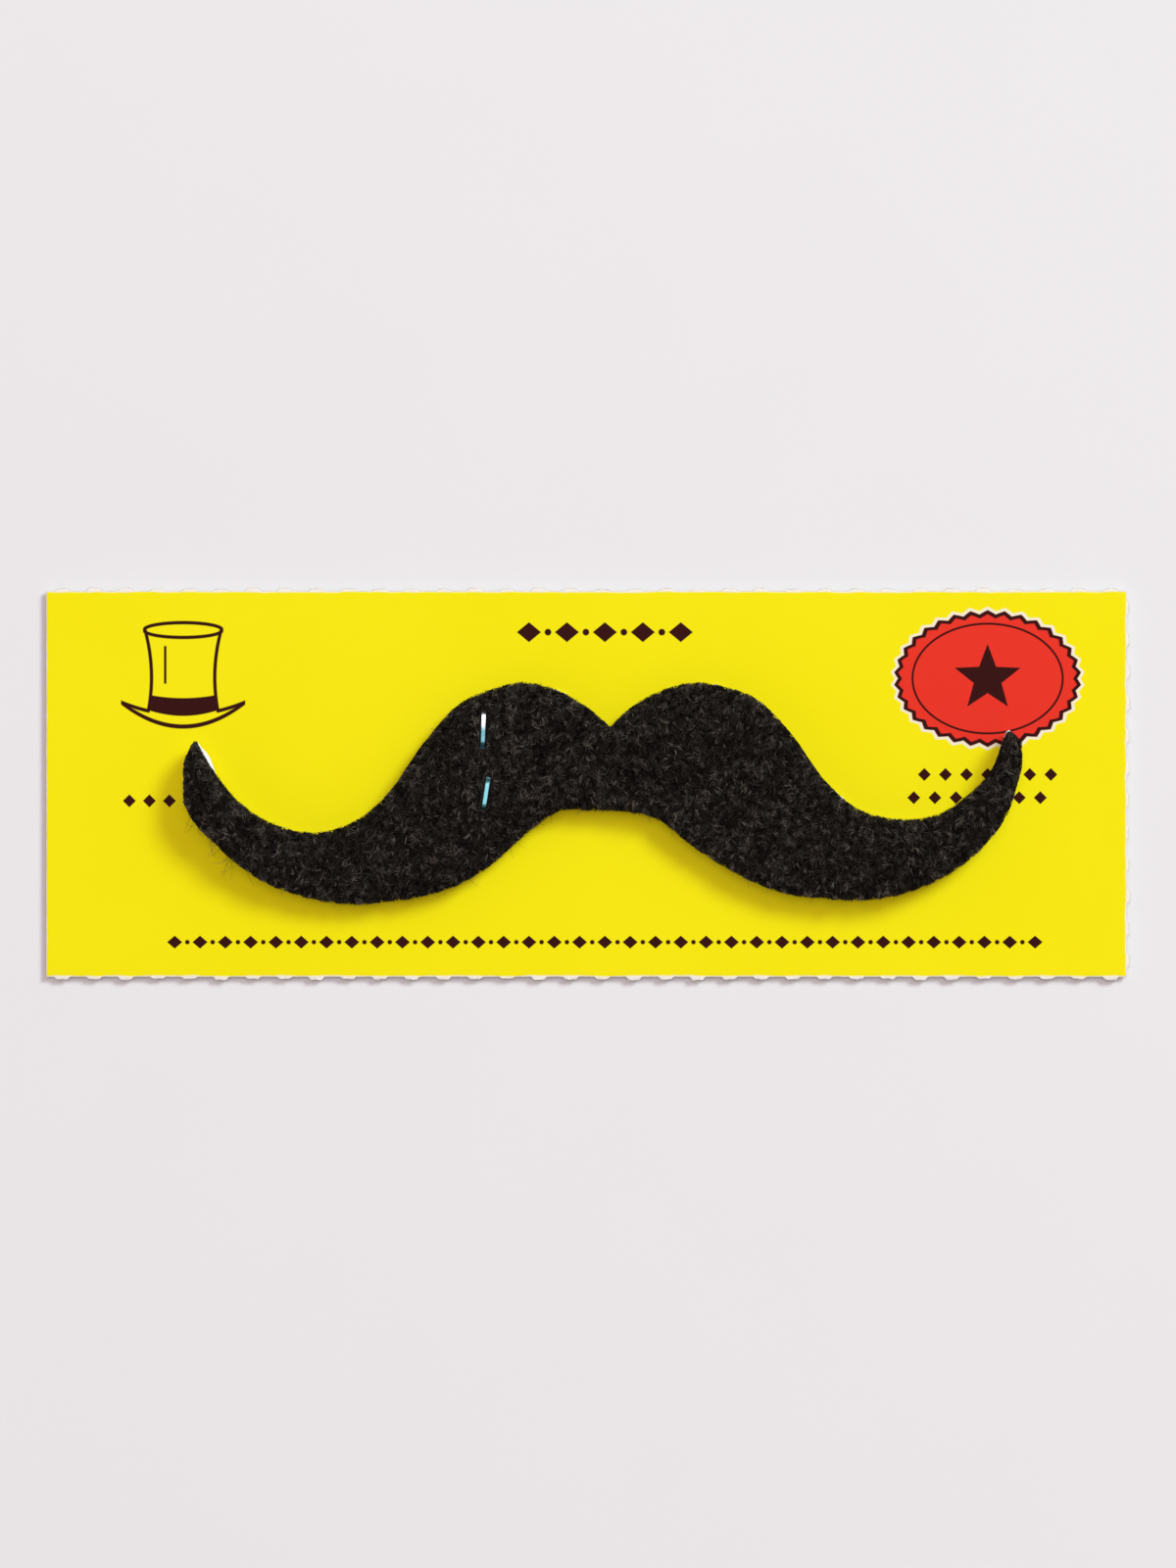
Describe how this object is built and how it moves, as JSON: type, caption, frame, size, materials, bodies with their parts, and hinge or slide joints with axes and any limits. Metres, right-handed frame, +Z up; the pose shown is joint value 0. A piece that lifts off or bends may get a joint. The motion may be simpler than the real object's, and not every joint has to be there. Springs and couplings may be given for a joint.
{
  "type": "fake moustache on a backing card",
  "caption": "Black pile-cloth handlebar moustache with an adhesive back, stapled to a yellow perforated tear-off card ticket.",
  "frame": {"origin": "under the middle of the ticket, on the surface that it lies on", "axes": "+X to the right along the ticket, +Y to its top edge, +Z up out of its printed face"},
  "size_m": [0.1028, 0.0372, 0.0055],
  "materials": {
    "yellow_card": "coated, semi-gloss",
    "release_paper": "glazed",
    "adhesive": "tacky",
    "black_pile": "matt pile",
    "staple_wire": "zinc plated"
  },
  "bodies": {
    "root": {"card_ticket": "yellow_card", "backing_paper": "release_paper", "adhesive_film": "adhesive", "hair_cloth": "black_pile", "staple": "staple_wire"}
  },
  "joints": []
}
